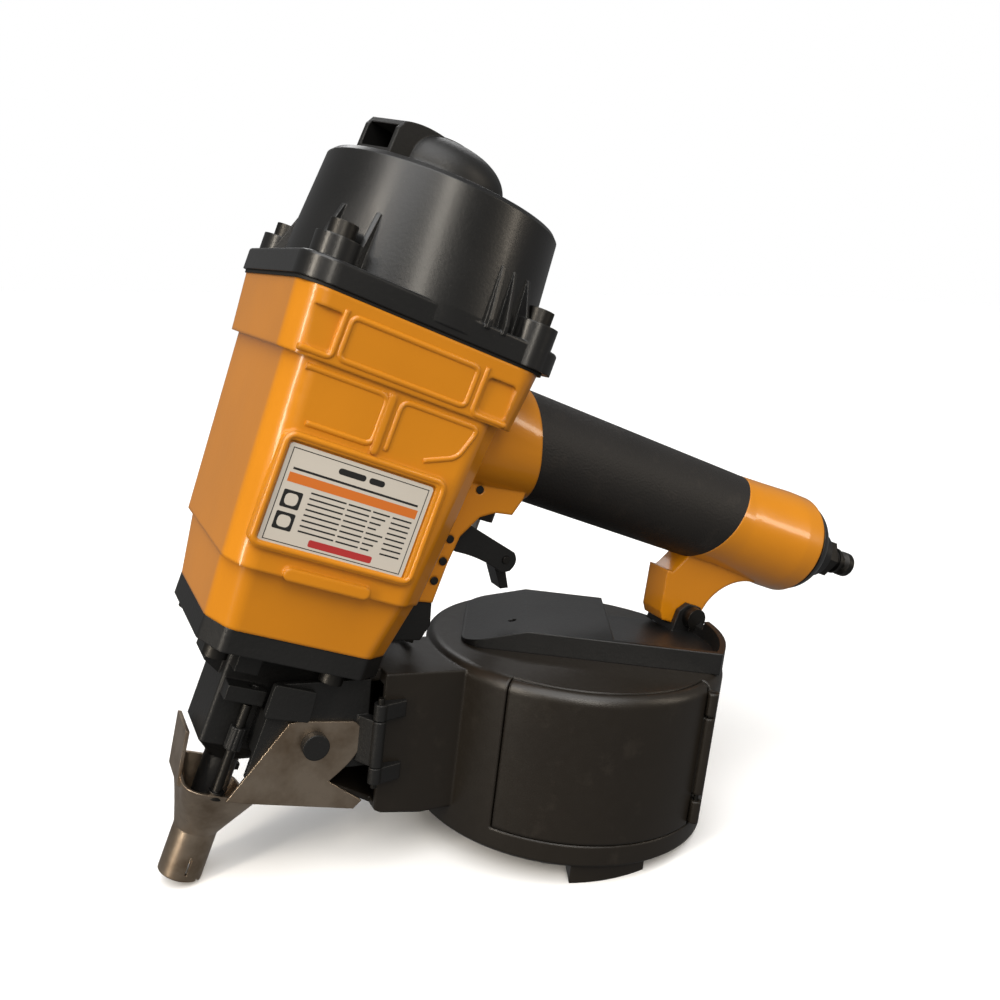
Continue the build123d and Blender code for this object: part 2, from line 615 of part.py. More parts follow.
with BuildPart(TOOL) as arm_cover:
    with BuildSketch(flank()):
        Polygon((32, 117), (32, 120.2), (43.6, 122.2), (46.3, 113.8), (44.5, 107.4), (32, 104.4), align=None)
    extrude(amount=14, both=True)
    with BuildSketch(flank(20)):
        Polygon((33.6, 100), (50, 100), (50, 125), (33.6, 125), align=None)
    extrude(amount=31.6, mode=Mode.SUBTRACT)
arm_cover.part.label = "arm_cover"

with BuildPart(TOOL) as contact_foot:
    with BuildSketch(deck(0, BORE_X)):
        Circle(8)
    extrude(amount=18)
    with BuildSketch(deck(18, BORE_X)):
        Circle(8)
    with BuildSketch(deck(39.4, -8, -3)) as funnel_top:
        RectangleRounded(29, 34, 7)
    loft()
    with BuildSketch(deck(-1, BORE_X)):
        Circle(6.5)
    extrude(amount=19, mode=Mode.SUBTRACT)
    with BuildSketch(deck(18, BORE_X)):
        Circle(6.5)
    with BuildSketch(deck(39.4, -8, -3)):
        RectangleRounded(26.4, 31.4, 5.7)
    loft(mode=Mode.SUBTRACT)
    # the mouth is cut lower at the front right so that the nails can be seen
    with BuildSketch(flank(0)):
        Polygon((BORE_X - 2, 50), (BORE_X + 30, 50), (BORE_X + 30, 30), (BORE_X - 2, 36), align=None)
    extrude(amount=-40, mode=Mode.SUBTRACT)
    # tall front tongue that rides on the column
    with BuildSketch(flank()):
        with BuildLine():
            Polyline((-21, 35.6), (-22.6, 36.4), (-25.8, 56), (-24.4, 56), (-22, 38.8), (-21, 35.6))
        make_face()
    extrude(amount=9, both=True)
    # teeth round the rear of the mouth
    for angle in (-50, -25, 0, 25, 50):
        x, y = on_circle(8, angle)
        with Locations((BORE_X + x, y, 0)):
            Cylinder(0.8, 2.4, mode=Mode.SUBTRACT)
    with Locations((BORE_X, -8, 6)):
        Box(0.8, 4, 7, mode=Mode.SUBTRACT)
contact_foot.part.label = "contact_foot"

with BuildPart(TOOL) as contact_arm:
    # flat strip from the foot up the nose's right side, then a rod that meets the trigger's lever
    with BuildSketch(flank(15.4)):
        Polygon((-6, 36), (4, 36), (4, 44), (31.6, 60), (31.6, 104), (29.8, 104), (29.8, 64), (-6, 45), align=None)
    extrude(amount=1.4)
    with BuildSketch(deck(102.4)):
        Polygon((29.8, 14), (29.8, 15.4), (41, 15.4), (48.4, 8), (48.4, -1.8), (45, -1.8), (45, 6), (37, 8.4),
                (34, 14), align=None)
    extrude(amount=1.6)
    with Locations((46.7, 0, 103)):
        Cylinder(1.5, 33, align=FROM_BASE)
    # tab that joins the strip to the rim of the foot
    with BuildSketch(deck(36)):
        Polygon((-6, 11), (4, 11), (4, 15.4), (-6, 15.4), align=None)
    extrude(amount=2.4)
contact_arm.part.label = "contact_arm"

contact_spring = spring_coil(deck(104.1, 38.6, 12.2), 2.2, 0.35, 16.2, 6)
contact_spring.label = "contact_spring"

with BuildPart(TOOL) as adjuster_rod:
    with Locations((*ADJUSTER, 37.5)):
        Cylinder(1.68, 35, align=FROM_BASE)
        Cylinder(2.9, 2.6, align=FROM_BASE)
adjuster_rod.part.label = "adjuster_rod"

with BuildPart(TOOL) as adjuster_nut:
    with Locations((*ADJUSTER, 56)):
        Cylinder(3.0, 8.2, align=FROM_BASE)
        Cylinder(1.73, 9, align=FROM_BASE, mode=Mode.SUBTRACT)
    with BuildSketch(deck(56)):
        with Locations(ADJUSTER):
            with PolarLocations(3.2, 10):
                Circle(0.45)
    extrude(amount=8.2, mode=Mode.SUBTRACT)
adjuster_nut.part.label = "adjuster_nut"

# ---------------------------------------------------------------- magazine
HINGE_A, HINGE_B = on_circle(HINGE_R, COVER_HINGE)

with BuildPart(MAG_PLANE) as magazine_body:
    # round can with a top plate, a rounded rim and a bottom pan
    with BuildSketch(spoke(0)):
        with BuildLine():
            Line((0, 0), (56.4, 0))
            Spline((56.4, 0), (59.4, -1.3), (MAG_R, -4.4), tangents=[(1, 0), (0, -1)])
            Polyline((MAG_R, -4.4), (MAG_R, -65.2), (59.2, -MAG_DEPTH), (0, -MAG_DEPTH), (0, -64.1),
                     (56.4, -64.1), (MAG_R - MAG_WALL, -62.4), (MAG_R - MAG_WALL, -5.4), (55.6, -3), (0, -3),
                     (0, 0))
        make_face()
    revolve(axis=MAG_AXIS)
    # the gap that the cover closes
    with BuildSketch(spoke(COVER_FROM - 0.7)):
        Polygon((56.4, 2), (70, 2), (70, -57.6), (56.4, -57.6), align=None)
    revolve(axis=MAG_AXIS, revolution_arc=COVER_TO - COVER_FROM + 1.6, mode=Mode.SUBTRACT)
    # feet
    for middle in (-98, 98):
        with BuildSketch(shelf(66)):
            Circle(57.5)
            Circle(48, mode=Mode.SUBTRACT)
            Polygon((0, 0), on_circle(70, middle - 15), on_circle(72, middle), on_circle(70, middle + 15),
                    mode=Mode.INTERSECT, align=None)
        extrude(amount=-14)
    # feed channel towards the nose
    with BuildSketch(flank(8)):
        Polygon((16.7, 52), (16.7, 93.2), (28.7, 93.2), (28.7, 96), (60.7, 104.4), (75.4, 52.2), (62, 47.6),
                (46.4, 45.4), align=None)
    extrude(amount=36)
    with BuildSketch(flank(6)):
        Polygon((10, 54.2), (10, 88.6), (28, 91), (62, 101.6), (66, 102.4), (78.5, 54.4), (62, 50), (46.6, 47.6),
                align=None)
    extrude(amount=32, mode=Mode.SUBTRACT)
    with BuildSketch(flank(-21.9)):
        Polygon((10, 40), (10, 104), (27.4, 104), (DOOR_HINGE[0] + 2.2, DOOR_HINGE[2]), (45.4, 40), align=None)
    extrude(amount=20, mode=Mode.SUBTRACT)
    with BuildSketch(flank(9)):
        Polygon((16, 73.2), (29, 73.2), (29, 78.8), (16, 78.8), align=None)
    extrude(amount=4, mode=Mode.SUBTRACT)
    # knuckles of the cover's hinge and of the door's hinge
    with Locations((HINGE_A, HINGE_B, -12), (HINGE_A, HINGE_B, -56)):
        Cylinder(2.2, 9, align=FROM_BASE)
    with Locations((HINGE_A, HINGE_B, -46.7)):
        Cylinder(2.6, 34.4, align=FROM_BASE, mode=Mode.SUBTRACT)
    with Locations((HINGE_A, HINGE_B, -57)):
        Cylinder(0.94, 55, align=FROM_BASE, mode=Mode.SUBTRACT)
    # everything under the floor of the resting tool is cut away
    with BuildSketch(Plane.XY):
        Rectangle(800, 800)
    extrude(amount=-40, mode=Mode.SUBTRACT)
magazine_body.part.label = "magazine_body"

DOOR_PLANE = Plane(origin=point(*DOOR_HINGE), x_dir=MAG_REAR, z_dir=MAG_UP)
with BuildPart(DOOR_PLANE) as door_bracket:
    for base in (-15, 9):
        with BuildSketch(DOOR_PLANE.offset(base)):
            Circle(2.4)
            Polygon((-0.4, -2.2), (-0.4, 2), (3, 2.58), (10, 2.58), (10, 0.8), align=None)
            Circle(1.24, mode=Mode.SUBTRACT)
        extrude(amount=6)
door_bracket.part.label = "door_bracket"

with BuildPart(DOOR_PLANE) as door_hinge_pin:
    Cylinder(1.2, 34)
door_hinge_pin.part.label = "door_hinge_pin"

with BuildPart(MAG_PLANE) as magazine_cover:
    with BuildSketch(spoke(COVER_FROM)):
        with BuildLine():
            Spline((56.9, -0.3), (59.4, -1.4), (MAG_R, -4.4), tangents=[(1, 0), (0, -1)])
            Polyline((MAG_R, -4.4), (MAG_R, -57), (MAG_R - MAG_WALL, -57), (MAG_R - MAG_WALL, -5.4),
                     (56.9, -3), (56.9, -0.3))
        make_face()
    revolve(axis=MAG_AXIS, revolution_arc=COVER_TO - COVER_FROM)
    with Locations((HINGE_A, HINGE_B, -13), (HINGE_A, HINGE_B, -57.2)):
        Cylinder(2.6, 13.4, align=FROM_BASE, mode=Mode.SUBTRACT)
    with Locations((HINGE_A, HINGE_B, -44)):
        Cylinder(2.2, 31, align=FROM_BASE)
        Cylinder(0.94, 31, align=FROM_BASE, mode=Mode.SUBTRACT)
magazine_cover.part.label = "magazine_cover"

with BuildPart(MAG_PLANE) as cover_hinge_pin:
    with Locations((HINGE_A, HINGE_B, -56)):
        Cylinder(0.9, 53, align=FROM_BASE)
cover_hinge_pin.part.label = "cover_hinge_pin"

with BuildPart(MAG_PLANE) as platform_post:
    with Locations((0, 0, -64.1)):
        Cylinder(4.9, 61.1, align=FROM_BASE)
        Cylinder(9, 3, align=FROM_BASE)
platform_post.part.label = "platform_post"

with BuildPart(MAG_PLANE) as nail_platform:
    with Locations((0, 0, -57)):
        Cylinder(50, 2.4, align=FROM_BASE)
        Cylinder(9, 14, align=FROM_BASE)
        Cylinder(4.95, 16, align=FROM_BASE, mode=Mode.SUBTRACT)
nail_platform.part.label = "nail_platform"

with BuildPart(MAG_PLANE) as magazine_hanger:
    tray_x = MAG_REAR * cos(radians(27)) - Vector(0, 1, 0) * sin(radians(27))
    tray_plane = Plane(origin=shelf().origin, x_dir=tray_x, z_dir=MAG_UP)
    with BuildSketch(tray_plane) as tray_outline:
        with Locations((20, 4.8)):
            RectangleRounded(132, 58.6, 9)
        Circle(60, mode=Mode.INTERSECT)
    extrude(amount=8.5)
    with BuildSketch(tray_plane.offset(1)):
        Circle(57.6)
        Polygon((13, -22), (70, -22), (70, 70), (13, 70), mode=Mode.INTERSECT, align=None)
    extrude(amount=20, mode=Mode.SUBTRACT)
    with BuildSketch(tray_plane.offset(1)):
        Polygon((13, 31), (70, 31), (70, 70), (13, 70), align=None)
    extrude(amount=20, mode=Mode.SUBTRACT)
    with BuildSketch(tray_plane.offset(4)):
        with Locations((-26.5, -7.2)):
            Circle(1.6)
    extrude(amount=8, mode=Mode.SUBTRACT)
    # the ramp at the tray's front end
    with BuildSketch(Plane(origin=shelf().origin, x_dir=tray_x, z_dir=tray_x.cross(MAG_UP))):
        Polygon((-60, 1.6), (-45, 1.6), (-20, 8.7), (-20, 12), (-60, 12), align=None)
    extrude(amount=70, both=True, mode=Mode.SUBTRACT)
    with BuildSketch(flank()):
        Polygon((160.5, 135.6), (160.5, 145), (164, 149), (171, 149), (174.4, 145), (174.4, 140), (171.5, 138.6),
                align=None)
    extrude(amount=9.6, both=True)
    with BuildSketch(flank()):
        Polygon((146, 136), (153, 138), (171.5, 138.2), (185, 140), (185, 160), (146, 160), align=None)
    extrude(amount=7, both=True, mode=Mode.SUBTRACT)
    with BuildSketch(flank(20)):
        with Locations(HANGER_BOLT):
            Circle(BOLT_R + 0.05)
    extrude(amount=40, mode=Mode.SUBTRACT)
magazine_hanger.part.label = "magazine_hanger"

with BuildPart(TOOL) as hanger_bolt:
    with Locations((HANGER_BOLT[0], 0, HANGER_BOLT[1])):
        Cylinder(BOLT_R, 26, rotation=(90, 0, 0))
    with Locations((HANGER_BOLT[0], -11.8, HANGER_BOLT[1]), (HANGER_BOLT[0], 11.8, HANGER_BOLT[1])):
        Cylinder(4.6, 4.2, rotation=(90, 0, 0))
hanger_bolt.part.label = "hanger_bolt"

# ---------------------------------------------------------------- feed door and its shield
with BuildPart(TOOL) as feed_door:
    with BuildSketch(flank(DOOR_FACE)):
        Polygon((-5.8, 49.4), (-5.8, 84), (26.2, 92.4), (35.6, 60.8), align=None)
    extrude(amount=2.2)
    with BuildSketch(flank(-13.4)):
        Polygon((-5.8, 58), (-5.8, 72), (12, 76.8), (12, 60), align=None)
    extrude(amount=10)
    with BuildSketch(DOOR_PLANE.offset(-8.6)):
        Circle(2.4)
        Polygon((-2.3, 0), (1.2, 2), (-2.4, 7), (-7, 7), align=None)
        Circle(1.24, mode=Mode.SUBTRACT)
    extrude(amount=17.2)
feed_door.part.label = "feed_door"

with BuildPart(TOOL) as door_block:
    with BuildSketch(flank(DOOR_FACE - 2.2)):
        Polygon((-7.6, 72.4), (-7.6, 84.6), (7.6, 84.6), (8.6, 73.6), align=None)
    extrude(amount=2.6)
    fillet(door_block.edges().filter_by(Axis.Y), 1.2)
door_block.part.label = "door_block"

with BuildPart(TOOL) as side_shield:
    with BuildSketch(flank(DOOR_FACE - 2.3)) as shield_outline:
        with BuildLine():
            Polyline((-9.6, 40.8), (2.4, 71.6), (6, 73), (25, 76.4))
            Spline((25, 76.4), (29.2, 73.6), (30.6, 69), (29, 62), (23.6, 53.2))
            Polyline((23.6, 53.2), (38.6, 48), (36.6, 44.4), (-2.4, 41), (-9.6, 40.8))
        make_face()
    extrude(amount=1.1)
side_shield.part.label = "side_shield"

with BuildPart(TOOL) as shield_boss:
    with Locations((13.4, DOOR_FACE - 5.2, 66)):
        Cylinder(4.7, 3.4, rotation=(90, 0, 0))
shield_boss.part.label = "shield_boss"

# ---------------------------------------------------------------- nail feed
FEED_Y = 24.0
FEED_Z = 76.0
with BuildPart(TOOL) as feed_cylinder:
    with Locations((49, FEED_Y, FEED_Z)):
        Cylinder(7.2, 30, rotation=(0, 90, 0))
    with BuildSketch(flank(18.4)):
        Polygon((38, 72), (58, 72), (58, 80), (38, 80), align=None)
    extrude(amount=10.35)
    with Locations((50.5, FEED_Y, FEED_Z)):
        Cylinder(5.6, 22, rotation=(0, 90, 0), mode=Mode.SUBTRACT)
    with Locations((36, FEED_Y, FEED_Z)):
        Cylinder(2.05, 20, rotation=(0, 90, 0), mode=Mode.SUBTRACT)
feed_cylinder.part.label = "feed_cylinder"

with BuildPart(TOOL) as feed_piston:
    with Locations((41.8, FEED_Y, FEED_Z)):
        Cylinder(5.52, 4, rotation=(0, 90, 0))
    with Locations((31, FEED_Y, FEED_Z)):
        Cylinder(2.0, 22, rotation=(0, 90, 0))
feed_piston.part.label = "feed_piston"

spring_seat = Plane(origin=point(44, FEED_Y, FEED_Z), x_dir=(0, 1, 0), z_dir=REARWARD)
feed_spring = spring_coil(spring_seat, 4.2, 0.45, 17.4, 6)
feed_spring.label = "feed_spring"

with BuildPart(TOOL) as feed_pawl:
    with BuildSketch(flank(27.5)):
        Polygon((17.1, 74), (20, 74), (20, 78.2), (17.1, 78.2), align=None)
    extrude(amount=25.5)
feed_pawl.part.label = "feed_pawl"

# ---------------------------------------------------------------- files
os.makedirs("parts", exist_ok=True)
export_step(main_housing.part, "parts/main_housing.step")
export_step(label_plate.part, "parts/label_plate.step")
export_step(cap_gasket.part, "parts/cap_gasket.step")
export_step(cylinder_cap.part, "parts/cylinder_cap.step")
export_step(cap_bolts.part, "parts/cap_bolts.step")
export_step(exhaust_deflector.part, "parts/exhaust_deflector.step")
export_step(deflector_screw.part, "parts/deflector_screw.step")
export_step(cylinder_sleeve.part, "parts/cylinder_sleeve.step")
export_step(bumper.part, "parts/bumper.step")
export_step(piston_driver.part, "parts/piston_driver.step")
export_step(piston_ring.part, "parts/piston_ring.step")
export_step(head_valve.part, "parts/head_valve.step")
export_step(handle_grip.part, "parts/handle_grip.step")
export_step(end_cap.part, "parts/end_cap.step")
export_step(end_cap_seal.part, "parts/end_cap_seal.step")
export_step(air_plug.part, "parts/air_plug.step")
export_step(trigger_pin.part, "parts/trigger_pin.step")
export_step(bracket_pins.part, "parts/bracket_pins.step")
export_step(trigger_valve_body.part, "parts/trigger_valve_body.step")
export_step(trigger_valve_stem.part, "parts/trigger_valve_stem.step")
export_step(trigger.part, "parts/trigger.step")
export_step(trigger_lever.part, "parts/trigger_lever.step")
export_step(lever_pin.part, "parts/lever_pin.step")
export_step(nose_body.part, "parts/nose_body.step")
export_step(nose_bolts.part, "parts/nose_bolts.step")
export_step(arm_cover.part, "parts/arm_cover.step")
export_step(contact_foot.part, "parts/contact_foot.step")
export_step(contact_arm.part, "parts/contact_arm.step")
export_step(adjuster_rod.part, "parts/adjuster_rod.step")
export_step(adjuster_nut.part, "parts/adjuster_nut.step")
export_step(magazine_body.part, "parts/magazine_body.step")
export_step(door_bracket.part, "parts/door_bracket.step")
export_step(door_hinge_pin.part, "parts/door_hinge_pin.step")
export_step(magazine_cover.part, "parts/magazine_cover.step")
export_step(cover_hinge_pin.part, "parts/cover_hinge_pin.step")
export_step(platform_post.part, "parts/platform_post.step")
export_step(nail_platform.part, "parts/nail_platform.step")
export_step(magazine_hanger.part, "parts/magazine_hanger.step")
export_step(hanger_bolt.part, "parts/hanger_bolt.step")
export_step(feed_door.part, "parts/feed_door.step")
export_step(door_block.part, "parts/door_block.step")
export_step(side_shield.part, "parts/side_shield.step")
export_step(shield_boss.part, "parts/shield_boss.step")
export_step(feed_cylinder.part, "parts/feed_cylinder.step")
export_step(feed_piston.part, "parts/feed_piston.step")
export_step(feed_pawl.part, "parts/feed_pawl.step")
export_step(head_valve_spring, "parts/head_valve_spring.step")
export_step(trigger_valve_spring, "parts/trigger_valve_spring.step")
export_step(contact_spring, "parts/contact_spring.step")
export_step(feed_spring, "parts/feed_spring.step")
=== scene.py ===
"""Coil nailer: finishes, cast ribs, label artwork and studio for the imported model."""
import math

import bmesh
import bpy
from bpy.props import FloatProperty, FloatVectorProperty, PointerProperty
from mathutils import Euler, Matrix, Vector


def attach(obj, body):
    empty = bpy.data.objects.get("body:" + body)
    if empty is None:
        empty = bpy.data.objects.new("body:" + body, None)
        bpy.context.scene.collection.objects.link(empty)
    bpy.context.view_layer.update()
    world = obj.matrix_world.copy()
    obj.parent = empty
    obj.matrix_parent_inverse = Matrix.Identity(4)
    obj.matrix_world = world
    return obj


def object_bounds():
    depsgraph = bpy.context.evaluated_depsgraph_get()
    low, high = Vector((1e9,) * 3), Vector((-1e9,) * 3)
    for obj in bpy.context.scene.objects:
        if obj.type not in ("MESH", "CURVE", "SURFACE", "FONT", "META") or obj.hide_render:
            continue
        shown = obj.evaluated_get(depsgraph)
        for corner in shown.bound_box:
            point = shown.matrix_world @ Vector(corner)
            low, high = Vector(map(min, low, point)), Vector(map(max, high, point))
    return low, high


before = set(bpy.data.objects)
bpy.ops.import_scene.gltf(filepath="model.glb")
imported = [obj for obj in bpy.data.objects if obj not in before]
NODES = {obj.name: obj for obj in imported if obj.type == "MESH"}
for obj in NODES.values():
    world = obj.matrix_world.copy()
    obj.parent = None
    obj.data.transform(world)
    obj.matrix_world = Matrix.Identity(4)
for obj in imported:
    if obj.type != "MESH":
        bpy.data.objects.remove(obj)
CAD_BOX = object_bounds()

bl_info = {
    "name": "Coil Nailer",
    "version": (1, 0, 0),
    "blender": (4, 5, 0),
    "location": "View3D > Sidebar > Coil Nailer",
    "description": "Finishes, label artwork and studio for a coil nailer",
    "category": "Object",
}

MM_PER_METRE = 1000
TILT = math.radians(21.4)         # how far the tool leans back on its row
REARWARD = Vector((math.cos(TILT), 0, -math.sin(TILT)))
DRIVE = Vector((math.sin(TILT), 0, math.cos(TILT)))
NOSE = Vector((-0.1472, 0.0087, 0))

STEP_LEVEL = 124                  # heights up the drive axis, in millimetres
BAND_LEVEL = 191
LABEL_RIB_FACE = -42.75           # depth of the rib round the label
LABEL_FACE = -42.93
LABEL_LEFT, LABEL_RIGHT = -34.0, 13.4
LABEL_LOW, LABEL_HIGH = 134.6, 164.2
LABEL_BORDER = 0.28
FIRST_LINE = 151.8                # height of the highest printed line
PRINTED_LINES = 8
ICON_HEIGHTS = (148.2, 141.2)
ICON_LIFT = 0.03                  # how far an icon's ground stands off its border
LIGHT_TARGET = Vector((0, 0, 0.12))


def tool_point(x, y, z):
    """A point of the tool's own frame, in millimetres, in the row frame."""
    return NOSE + (REARWARD * x + Vector((0, y, 0)) + DRIVE * z) / MM_PER_METRE


# ---------------------------------------------------------------- shader maths
class Signal:
    """A shader socket that can be used in Python expressions."""

    def __init__(self, shader, socket):
        self.shader = shader
        self.socket = socket

    def _math(self, operation, first, second):
        return self.shader.add("ShaderNodeMath", {"operation": operation}, numbered={0: first, 1: second})

    def __add__(self, other):
        return self._math("ADD", self, other)

    def __radd__(self, other):
        return self._math("ADD", other, self)

    def __sub__(self, other):
        return self._math("SUBTRACT", self, other)

    def __rsub__(self, other):
        return self._math("SUBTRACT", other, self)

    def __mul__(self, other):
        return self._math("MULTIPLY", self, other)

    def __rmul__(self, other):
        return self._math("MULTIPLY", other, self)

    def __truediv__(self, other):
        return self._math("DIVIDE", self, other)

    def __rtruediv__(self, other):
        return self._math("DIVIDE", other, self)

    def clamped(self):
        """The signal held between 0 and 1."""
        return self._math("MINIMUM", self._math("MAXIMUM", self, 0.0), 1.0)


class Shader:
    """The node tree of one material, or of a world."""

    def __init__(self, name, library="materials"):
        self.owner = getattr(bpy.data, library).new(name)
        self.owner.use_nodes = True
        self.tree = self.owner.node_tree
        self.tree.nodes.clear()

    def feed(self, socket, value):
        """Puts a number, colour, vector or signal into a socket."""
        if isinstance(value, Signal):
            self.tree.links.new(value.socket, socket)
        else:
            socket.default_value = value

    def add(self, kind, settings=None, output=0, numbered=None, **sockets):
        """Any node: its type, its settings, and the values or links of its sockets, by number or name."""
        node = self.tree.nodes.new(kind)
        for key, value in (settings or {}).items():
            setattr(node, key, value)
        for index, value in (numbered or {}).items():
            self.feed(node.inputs[index], value)
        for key, value in sockets.items():
            self.feed(node.inputs[key.replace("_", " ")], value)
        return Signal(self, node.outputs[output]) if len(node.outputs) else None

    def place(self):
        """Position on the model, in metres."""
        return self.add("ShaderNodeTexCoord", output=3)

    def cloud(self, scale, detail=3.0, rough=0.5):
        """Soft noise from 0 to 1."""
        return self.add("ShaderNodeTexNoise", Vector=self.place(), Scale=scale, Detail=detail,
                        Roughness=rough)

    def ramp(self, factor, low, high):
        """The factor stretched so that low gives 0 and high gives 1."""
        return ((factor - low) / (high - low)).clamped()

    def blend(self, factor, first, second):
        """A colour between two others."""
        return self.add("ShaderNodeMix", {"data_type": "RGBA"}, 2, {0: factor, 6: first, 7: second})

    def bump(self, height, strength, distance, edge=0.0):
        """Surface relief, with softened edges where edge is a radius in metres."""
        sockets = {"Height": height, "Strength": strength, "Distance": distance}
        if edge:
            sockets["Normal"] = self.add("ShaderNodeBevel", {"samples": 6}, Radius=edge)
        return self.add("ShaderNodeBump", **sockets)

    def surface(self, colour, roughness, normal=None, metallic=0.0, coat=0.0, coat_roughness=0.1,
                specular=0.5):
        """The finished surface."""
        sockets = {"Base_Color": colour, "Roughness": roughness, "Metallic": metallic, "Coat_Weight": coat,
                   "Coat_Roughness": coat_roughness, "Specular_IOR_Level": specular}
        if normal is not None:
            sockets["Normal"] = normal
        self.add("ShaderNodeOutputMaterial", Surface=self.add("ShaderNodeBsdfPrincipled", **sockets))
        return self.owner


def rgba(colour, gain=1.0):
    """A colour property as a four-part colour."""
    return (colour[0] * gain, colour[1] * gain, colour[2] * gain, 1.0)


def dress(material, *names):
    """Gives nodes their material."""
    for name in names:
        piece = NODES[name]
        piece.data.materials.clear()
        piece.data.materials.append(material)


# ---------------------------------------------------------------- finishes
def glossy_enamel(name, colour):
    """Baked enamel on a casting: fine orange peel, slow cloudiness and thin scuffs."""
    s = Shader(name)
    slow = s.cloud(26.0, 2.0)
    peel = s.cloud(1500.0, 2.0, 0.4)
    wave = s.cloud(190.0, 2.0, 0.5)
    scuff = s.ramp(s.cloud(420.0, 6.0, 0.75), 0.66, 0.72)
    tint = s.blend(slow, rgba(colour, 0.86), rgba(colour, 1.08))
    tint = s.blend(scuff * 0.25, tint, rgba((0.35, 0.14, 0.02)))
    rough = 0.26 + slow * 0.08 + scuff * 0.2
    relief = s.bump(peel * 0.35 + wave * 0.65, 0.12, 0.0006, 0.0016)
    return s.surface(tint, rough, relief, coat=0.55, coat_roughness=0.09)


def satin_black(name, colour, rough=0.34, grain=900.0, relief=0.16, dust=0.12, coat=0.0):
    """Black paint or oxide on a casting: fine grain, faint dust and rubbed patches."""
    s = Shader(name)
    fine = s.cloud(grain, 3.0, 0.6)
    slow = s.cloud(38.0, 3.0)
    specks = s.ramp(s.cloud(1300.0, 2.0, 0.7), 0.7, 0.76)
    tint = s.blend(slow, rgba(colour, 0.7), rgba(colour, 1.4))
    tint = s.blend(specks * dust, tint, (0.22, 0.2, 0.18, 1))
    roughness = rough - 0.06 + slow * 0.12 + fine * 0.08
    return s.surface(tint, roughness, s.bump(fine, relief, 0.0004, 0.0007), coat=coat,
                     coat_roughness=0.2)


def moulded_rubber(name, colour):
    """Grip rubber with a fine pebbled skin."""
    s = Shader(name)
    pebble = s.add("ShaderNodeTexVoronoi", {"feature": "SMOOTH_F1"}, Vector=s.place(), Scale=1500.0)
    slow = s.cloud(30.0, 3.0)
    worn = s.ramp(s.cloud(90.0, 5.0, 0.65), 0.55, 0.75)
    tint = s.blend(slow, rgba(colour, 0.8), rgba(colour, 1.5))
    tint = s.blend(worn * 0.25, tint, (0.05, 0.04, 0.033, 1))
    return s.surface(tint, 0.56 - worn * 0.12 + slow * 0.06, s.bump(pebble, 0.35, 0.0005), specular=0.42)


def moulded_nylon(name, colour):
    """Glass-filled nylon: mottled sheen, flow marks and rubbed high spots."""
    s = Shader(name)
    mottle = s.cloud(240.0, 4.0, 0.6)
    slow = s.cloud(22.0, 3.0)
    fine = s.cloud(1700.0, 2.0, 0.6)
    rub = s.ramp(s.cloud(70.0, 6.0, 0.7), 0.58, 0.7)
    tint = s.blend(slow, rgba(colour, 0.75), rgba(colour, 1.35))
    tint = s.blend(rub * 0.1, tint, rgba((0.06, 0.048, 0.036)))
    rough = 0.3 + mottle * 0.14 + rub * 0.05
    return s.surface(tint, rough, s.bump(fine * 0.5 + mottle * 0.5, 0.12, 0.0005, 0.0014))


def bright_sheet(name, colour, dark):
    """Polished nickel sheet with drawing marks and brown stains."""
    s = Shader(name)
    marks = s.cloud(300.0, 5.0, 0.7)
    stain = s.ramp(s.cloud(60.0, 4.0, 0.6), 0.4, 0.7)
    fine = s.cloud(1800.0, 3.0, 0.6)
    tint = s.blend(stain, rgba(colour), rgba(dark))
    rough = 0.22 + marks * 0.16 + stain * 0.08
    return s.surface(tint, rough, s.bump(fine * 0.3 + marks * 0.7, 0.1, 0.0004, 0.0005), metallic=1.0)


def machined_steel(name, colour, rough):
    """Turned or ground metal with fine tool marks."""
    s = Shader(name)
    marks = s.cloud(700.0, 4.0, 0.7)
    slow = s.cloud(60.0, 3.0)
    tint = s.blend(slow, rgba(colour, 0.75), rgba(colour, 1.2))
    return s.surface(tint, rough - 0.06 + marks * 0.16, s.bump(marks, 0.12, 0.0003, 0.0003), metallic=1.0)


def printed_vinyl(name, colour):
    """Label stock or ink with a faint print grain."""
    s = Shader(name)
    grain = s.cloud(1400.0, 3.0, 0.6)
    slow = s.cloud(40.0, 3.0)
    tint = s.blend(slow, rgba(colour, 0.9), rgba(colour, 1.03))
    return s.surface(tint, 0.34 + grain * 0.12, s.bump(grain, 0.06, 0.0002), coat=0.2, coat_roughness=0.2)


def studio_floor(name, colour):
    """Plain matt floor."""
    s = Shader(name)
    grain = s.cloud(12.0, 3.0)
    tint = s.blend(grain, rgba(colour, 0.99), rgba(colour, 1.0))
    return s.surface(tint, 0.85, specular=0.1)


# ---------------------------------------------------------------- settings
class FinishSettings(bpy.types.PropertyGroup):
    """Colours of the nailer's finishes."""

    enamel: FloatVectorProperty(name="Enamel", description="Body enamel colour", subtype="COLOR", size=3,
                                min=0, max=1, default=(0.62, 0.222, 0.003))
    black: FloatVectorProperty(name="Black", description="Cap and nose colour", subtype="COLOR", size=3,
                               min=0, max=1, default=(0.006, 0.006, 0.006))
    rubber: FloatVectorProperty(name="Rubber", description="Grip colour", subtype="COLOR", size=3,
                                min=0, max=1, default=(0.009, 0.0078, 0.007))
    nylon: FloatVectorProperty(name="Nylon", description="Magazine colour", subtype="COLOR", size=3,
                               min=0, max=1, default=(0.0115, 0.0088, 0.006))
    nickel: FloatVectorProperty(name="Nickel", description="Foot and shield colour", subtype="COLOR", size=3,
                                min=0, max=1, default=(0.62, 0.5, 0.38))
    paper: FloatVectorProperty(name="Label", description="Label colour", subtype="COLOR", size=3,
                               min=0, max=1, default=(0.58, 0.54, 0.48))


